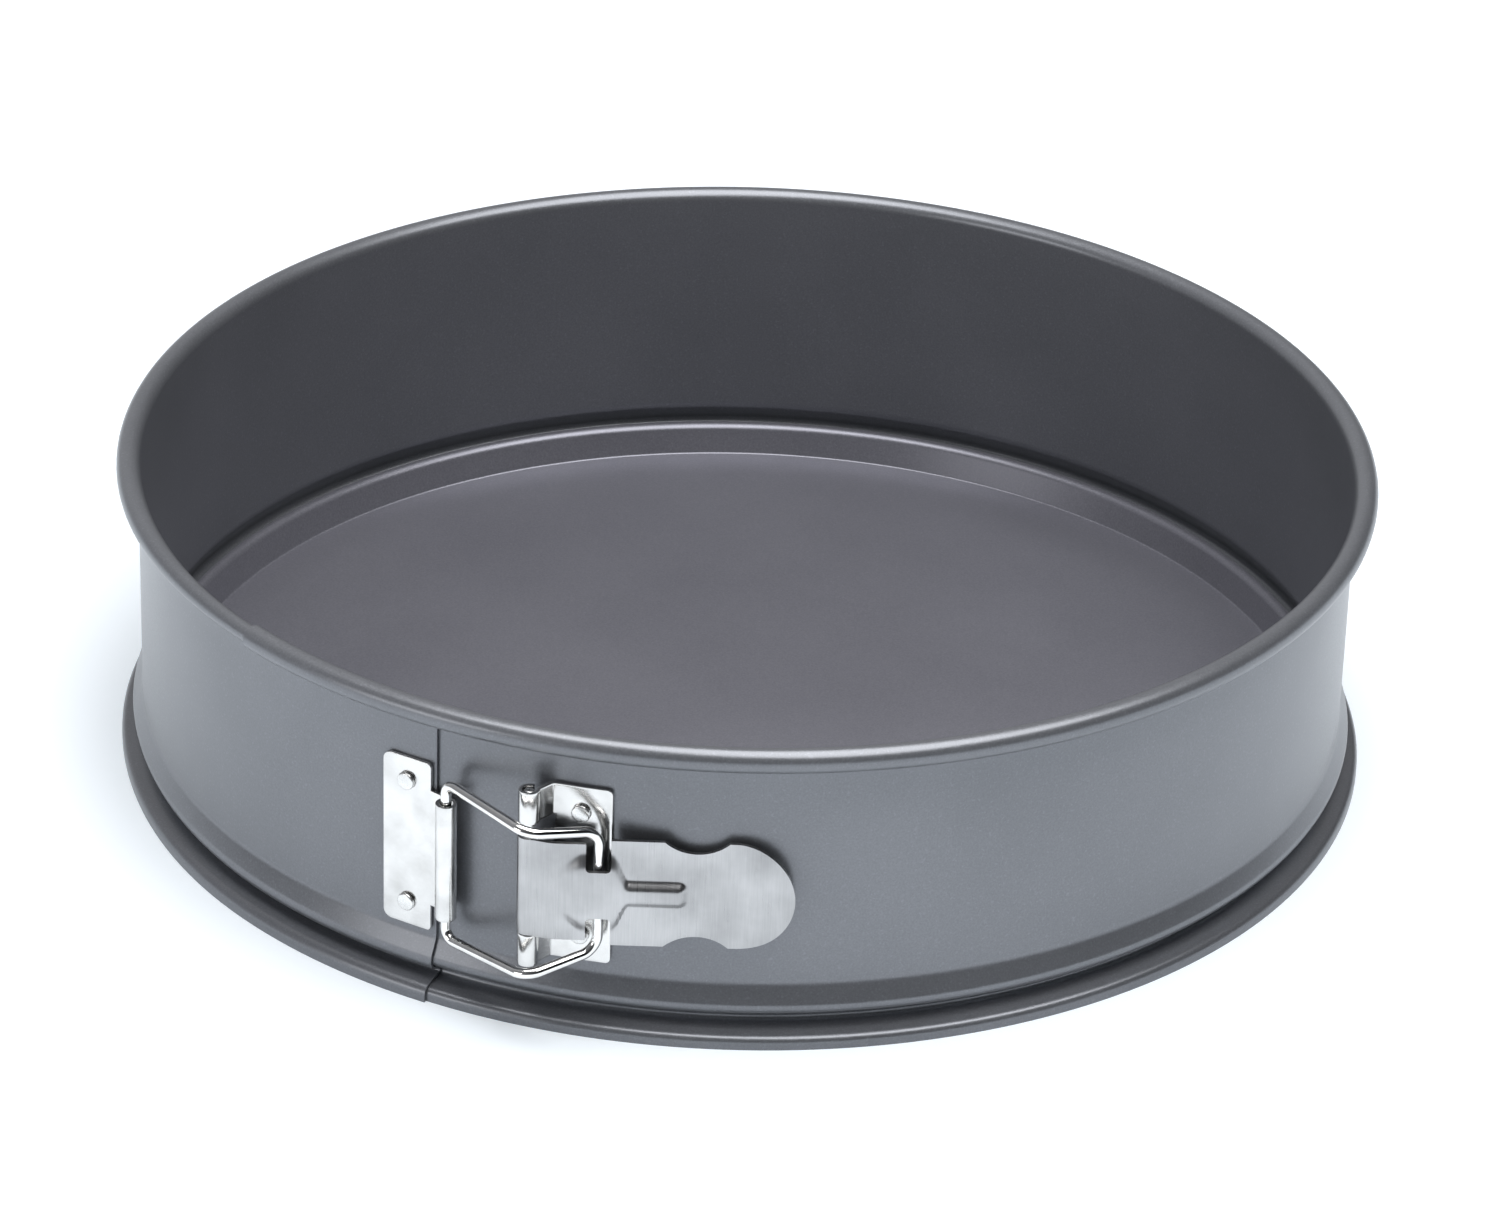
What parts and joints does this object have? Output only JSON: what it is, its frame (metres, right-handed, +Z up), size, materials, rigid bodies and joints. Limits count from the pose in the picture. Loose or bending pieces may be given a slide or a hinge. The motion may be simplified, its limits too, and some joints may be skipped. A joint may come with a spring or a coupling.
{
  "type": "springform pan",
  "caption": "Round non-stick springform baking pan: a wrapped band with a rolled rim and a skirt, a lift-out base and an over-centre lever clasp.",
  "frame": {"origin": "on the surface the pan stands on, at the axis of its round wall", "axes": "+Z up along the axis of the pan; the clasp is on the -Y side, with its closed lever along X; the opening of the lever is towards -Y"},
  "size_m": [0.2704, 0.2737, 0.068],
  "materials": {
    "band_coating": "blue-grey non-stick coating with a fine metallic speckle, satin",
    "base_coating": "dark grey non-stick coating with a fine metallic speckle, satin",
    "plate_nickel": "bright nickel plate",
    "lever_nickel": "nickel plate over fine brushed grain",
    "wire_nickel": "bright nickel plate on drawn wire",
    "pin_nickel": "bright nickel plate",
    "rivet_nickel": "nickel plate, satin on the domed heads"
  },
  "bodies": {
    "ring": {"band": "band_coating", "catch_plate": "plate_nickel", "hinge_plate": "plate_nickel", "hinge_pin": "pin_nickel", "catch_rivet_upper": "rivet_nickel", "catch_rivet_lower": "rivet_nickel", "hinge_rivet_upper": "rivet_nickel", "hinge_rivet_lower": "rivet_nickel"},
    "base": {"base_plate": "base_coating"},
    "lever": {"lever": "lever_nickel"},
    "bail": {"bail": "wire_nickel"}
  },
  "joints": [
    {"name": "base_lift", "type": "slide", "parent": "ring", "child": "base", "axis": [0, 0, 1], "range_m": [0, 0.08]},
    {"name": "lever_hinge", "type": "hinge", "parent": "ring", "child": "lever", "pos_m": [-0.04102, -0.12909, 0.03415], "axis": [0, 0, -1], "range_deg": [0, 165]},
    {"name": "bail_hinge", "type": "hinge", "parent": "ring", "child": "bail", "pos_m": [-0.05786, -0.12168, 0.03415], "axis": [0, 0, -1], "range_deg": [0, 56.1]}
  ],
  "couplings": [
    {"joint": "bail_hinge", "follows": "lever_hinge", "ratio": 0.34}
  ]
}
